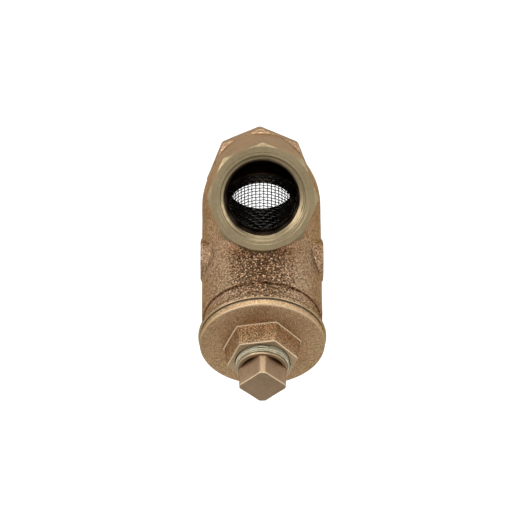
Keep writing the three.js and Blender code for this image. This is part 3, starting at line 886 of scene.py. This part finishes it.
def plug():
    """From the tip's centre up the thread to the rim, down into the cored ring, up the head, and in."""
    turns = turns_of(288)
    flat = np.ones(turns.shape)
    slope = (PLUG_SHOULDER - PLUG_TIP) * TAPER
    rows = [(PLUG_TIP, 0 * flat), (PLUG_TIP, 4.0 * flat), (PLUG_TIP, (PLUG_R - slope - 1.5) * flat)]
    for h in np.arange(PLUG_TIP + 0.15, PLUG_SHOULDER - 0.7, PLUG_PITCH / 10):
        fade = min(1.0, (h - PLUG_TIP) / 1.2 + 0.1)
        crest = PLUG_R - (PLUG_SHOULDER - h) * TAPER
        rows.append((h, crest - 1.0 + fade * 0.95 * thread_wave(-h, turns, PLUG_PITCH)))
    thread = len(rows)
    side = square_radius(turns, HEAD_HALF, HEAD_BLUNT)
    pocket = np.maximum(8.4, side + 0.03)
    rim = PLUG_SHOULDER
    rows += [(rim - 0.5, 10.0 * flat), (rim - 0.15, 9.98 * flat), (rim, 9.8 * flat)]
    gap = np.clip((pocket - side) / 0.8, 0, 1)
    rows += [(rim, pocket + 0.12), (rim - 0.15, pocket), (rim - 0.15 - 2.6 * gap, pocket - 0.02)]
    rows += [(rim - 0.15 - 2.8 * gap, 0.5 * (pocket + side)), (rim - 0.1 - 2.7 * gap, side + 0.02)]
    for share in (0.0, 0.2, 0.45, 0.7, 0.9):
        rows.append((PLUG_SHOULDER + share * (PLUG_FRONT - 0.45 - PLUG_SHOULDER), side - 0.12 * share))
    rows += [(PLUG_FRONT - 0.26, side - 0.13), (PLUG_FRONT - 0.07, side - 0.22), (PLUG_FRONT, side - 0.42)]
    rows += [(PLUG_FRONT, side * 0.7), (PLUG_FRONT, side * 0.35), (PLUG_FRONT, 0 * flat)]
    height = np.stack([np.broadcast_to(h, turns.shape) for h, r in rows])
    radius = np.stack([np.broadcast_to(r, turns.shape) for h, r in rows])
    points = round_grid(radius, height, turns, BRANCH)
    wave = sand_waves(points[..., 0] - 40, points[..., 1] + 9, points[..., 2] + 21)
    index = np.arange(len(rows))[:, None]
    radius = radius * (1 + 0.006 * wave / 0.08 * (index > thread + 7))
    points = round_grid(radius, height, turns, BRANCH).reshape(-1, 3)
    columns = len(turns)
    quads = close_grid(len(rows), columns, False)
    row = quads[:, 0] // columns
    front = len(rows) - 6
    # The head's front-edge bevel takes the painted edge highlight.
    bright = (row < thread + 3) | ((row >= front) & (row < front + 2))
    finish = np.where(row < thread + 3, 0, np.where(bright, 2, 1))
    metals = [plug_bright, plug_cast, edge_highlight]
    made = piece_from("square_head_plug", points, quads, "plug", metals, finish, crease=30)
    weld_poles(made)
    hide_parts("blow_off_plug")


def weld_poles(made):
    """Joins the vertices that lie on one point, where a profile meets the axis."""
    work = bmesh.new()
    work.from_mesh(made.data)
    bmesh.ops.remove_doubles(work, verts=work.verts, dist=1e-6)
    work.to_mesh(made.data)
    work.free()


# The plug's cast bronze is a darker copy of the body's: painted shade, holding down the head's sides, which
# face the overhead light.
PLUG_LIGHT, PLUG_DARK = (0.36, 0.255, 0.165), (0.28, 0.195, 0.12)
plug_cast = cast_finish("fine_cast_plug", PLUG_LIGHT, PLUG_DARK, 2600.0, 0.0002, 0.5, rugged=0.3)
plug_bright = turned_finish("turned_bronze_plug", (0.46, 0.35, 0.23), (0.33, 0.25, 0.16), TILT, 0.42)
plug()

# ==== The sealing tape ====
# Thin pale tape wound three times round the plug's thread before it is screwed in. It bridges the
# grooves, stands out as a soft layered band above the boss, and leaves a few torn wisps.


STRAND = 0.00082


def tape_finish():
    """Sealing tape: soft waxy off-white, creased where it is stretched, with painted shade between its
    strands: ambient occlusion in the gaps, and a sine of the height along the plug, pushed about by the
    creases' noise."""
    material, tree, shader, place = new_finish("sealing_tape")
    creases = put(tree, "TexNoise", {"Vector": place, "Scale": 700.0, "Detail": 3.0, "Distortion": 0.8})
    colour = blend_colours(tree, creases.outputs[0], (0.2, 0.175, 0.105, 1), (0.56, 0.505, 0.35, 1))
    # Painted shade in the gaps between the strands, from ambient occlusion and from a sine along the plug.
    shade = put(tree, "AmbientOcclusion", {"Distance": 0.0012}, samples=8)
    gap = put(tree, "MapRange", {"Value": shade.outputs["AO"], 1: 0.92, 2: 0.5, 3: 0.0, 4: 1.0})
    colour = blend_colours(tree, gap.outputs[0], colour, (0.12, 0.105, 0.07, 1), "MULTIPLY")
    level = put(tree, "Mapping", {"Vector": place, "Rotation": (0.0, TILT, 0.0)}).outputs[0]
    along = put(tree, "SeparateXYZ", {"Vector": level}).outputs["X"]
    drift = sums(tree, "MULTIPLY", creases.outputs[0], 7.0)
    wound = sums(tree, "SINE", sums(tree, "MULTIPLY_ADD", along, 2 * math.pi / STRAND, drift))
    strand = put(tree, "MapRange", {"Value": wound, 1: -0.1, 2: -0.85, 3: 0.0, 4: 0.75})
    colour = blend_colours(tree, strand.outputs[0], colour, (0.3, 0.26, 0.18, 1), "MULTIPLY")
    tree.links.new(colour, shader.inputs["Base Color"])
    shader.inputs["Roughness"].default_value = 0.42
    relief = put(tree, "Bump", {"Height": creases.outputs[0], "Distance": 0.00012, "Strength": 0.8})
    tree.links.new(relief.outputs[0], shader.inputs["Normal"])
    return material


waxy = tape_finish()


def tape():
    """Strands of tape round the shank, each a low ridge with ragged edges, narrower towards the head."""
    turns = turns_of(288)
    ragged = 0.1 * np.sin(7 * turns + 1) + 0.07 * np.sin(17 * turns) + 0.05 * np.sin(31 * turns + 2)
    heights = np.concatenate([np.linspace(83.0, 90.6, 26), np.linspace(90.8, 94.1, 44)])
    rows = []
    for h in heights:
        base = PLUG_R - (PLUG_SHOULDER - h) * TAPER
        groove = 0.16 * thread_wave(-h, turns, PLUG_PITCH)
        wound = (h + 0.95 * turns / (2 * np.pi) + 0.8 * ragged) / 0.95
        ridge = np.abs(np.sin(np.pi * wound)) ** 0.5
        fade = 1 / (1 + np.exp((h - 93.7 - ragged) * 6))
        rows.append((h, base + groove + 0.02 + (0.02 + 0.36 * ridge) * fade))
    rows.append((94.15 + 0.3 * ragged, rows[-1][1] - 0.05))
    rows.append((94.15 + 0.3 * ragged, PLUG_R - 0.4 + 0 * turns))
    rows.append((83.0 + 0 * turns, PLUG_R - 0.42 + 0 * turns))
    height = np.stack([np.broadcast_to(h, turns.shape) for h, r in rows])
    radius = np.stack([np.broadcast_to(r, turns.shape) for h, r in rows])
    points = round_grid(radius, height, turns, BRANCH).reshape(-1, 3)
    quads = close_grid(len(rows), len(turns), True)
    made = piece_from("tape_winding", points, quads, "plug_seal", [waxy], crease=50)
    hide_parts("plug_tape")


tape()


def wisp(name, turn, wide, start, curl, lean):
    """A torn end of tape: a thin curled strip that lifts off the winding as it goes round."""
    steps, sides = 26, 12
    t = np.linspace(0, 1, steps)[:, None]
    v = turns_of(sides)[None, :]
    half = wide * (1 - 0.75 * t**2)
    across = half * np.cos(v)
    thick = 0.05 * np.sin(v)
    angle = turn + 0.42 * t + 0 * v
    height = start + across + lean * t**2 + 0.12 * np.sin(9 * t)
    radius = 10.72 + curl * t**2 * (1 + 0.5 * np.sin(6 * t)) + thick
    points = branch_points(angle, radius, height).reshape(-1, 3)
    ends = [list(range(sides))[::-1], list(range((steps - 1) * sides, steps * sides))]
    faces = close_grid(steps, sides, False).tolist() + ends
    made = piece_from(name, points, faces, "plug_seal", [waxy], crease=60)
    recalculate(made)


def recalculate(made):
    """Turns every face of a closed piece outwards."""
    work = bmesh.new()
    work.from_mesh(made.data)
    bmesh.ops.recalc_face_normals(work, faces=work.faces)
    work.to_mesh(made.data)
    work.free()


wisp("tape_wisp_upper", math.radians(78), 0.55, 92.2, 0.75, 0.3)
wisp("tape_wisp_side", math.radians(-20), 0.65, 92.4, 0.9, 0.4)

# ==== The studio ====
# A pale floor far below, a pale even surround, one wide soft light overhead and one at each side.
rims = np.array(
    [(0.05, -1.7), (2.2, -1.7), (3.6, -1.62), (4.5, -1.2), (5.0, -0.4), (5.3, 1.0), (5.4, 3.0), (5.4, 6.0)]
)
BOWL_SIDES = 96
turns = turns_of(BOWL_SIDES)
bowl = round_grid(rims[:, :1], rims[:, 1:], turns, (OUTWARD, ACROSS, UPRIGHT)).reshape(-1, 3)
centre_disc = [list(range(BOWL_SIDES))]
floor_mesh = bpy.data.meshes.new("studio_floor")
floor_mesh.from_pydata(bowl.tolist(), [], close_grid(len(rims), BOWL_SIDES, False).tolist() + centre_disc)
floor = bpy.data.objects.new("studio_floor", floor_mesh)
bpy.context.scene.collection.objects.link(floor)


def paper_finish():
    """Studio paper: pale grey under the object, and lit from behind to white further out."""
    material, tree, shader, place = new_finish("pale_paper")
    far = put(tree, "VectorMath", {0: place}, operation="LENGTH").outputs["Value"]
    out = put(tree, "MapRange", {"Value": far, 1: 2.2, 2: 4.6, 3: 0.0, 4: 1.0}).outputs[0]
    colour = blend_colours(tree, out, (0.6, 0.6, 0.6, 1), (0.4, 0.4, 0.4, 1))
    tree.links.new(colour, shader.inputs["Base Color"])
    glow = blend_colours(tree, out, (0, 0, 0, 1), (1, 1, 1, 1))
    tree.links.new(glow, shader.inputs["Emission Color"])
    shader.inputs["Emission Strength"].default_value = 0.8
    shader.inputs["Roughness"].default_value = 0.9
    return material


floor_mesh.materials.append(paper_finish())

world = bpy.data.worlds.new("studio")
world.use_nodes = True
world.node_tree.nodes["Background"].inputs["Color"].default_value = (1, 1, 1, 1)
world.node_tree.nodes["Background"].inputs["Strength"].default_value = 0.63
bpy.context.scene.world = world
bpy.context.scene.view_settings.view_transform = "Standard"

AIM = Vector((0.0, 0.0, -0.0297))


def soft_light(name, place, size, power):
    """A square area light that faces the object."""
    data = bpy.data.lights.new(name, "AREA")
    data.shape = "SQUARE"
    data.size = size
    data.energy = power
    made = bpy.data.objects.new(name, data)
    made.location = place
    made.rotation_euler = (AIM - Vector(place)).to_track_quat("-Z", "Y").to_euler()
    bpy.context.scene.collection.objects.link(made)


soft_light("light_top", (0.25, 0.0, 1.5), 1.2, 17.5)
soft_light("light_left", (1.0, -1.3, 0.7), 0.9, 12.0)
soft_light("light_right", (1.2, 1.4, 0.5), 0.8, 7.6)

rise, swing, roll, distance = math.radians(4.655), math.radians(-0.599), math.radians(0.152), 2.152
back = Vector((math.cos(rise) * math.cos(swing), math.cos(rise) * math.sin(swing), math.sin(rise)))
right = Vector((0, 0, 1)).cross(back).normalized()
top = back.cross(right)
right, top = math.cos(roll) * right + math.sin(roll) * top, math.cos(roll) * top - math.sin(roll) * right
lens = bpy.data.cameras.new("camera")
lens.sensor_width = 36.0
lens.lens = lens.sensor_width * 5263.1 / 522
camera = bpy.data.objects.new("camera", lens)
turn = Matrix((right, top, back)).transposed().to_4x4()
camera.matrix_world = Matrix.Translation(AIM + back * distance) @ turn
bpy.context.scene.collection.objects.link(camera)
bpy.context.scene.camera = camera
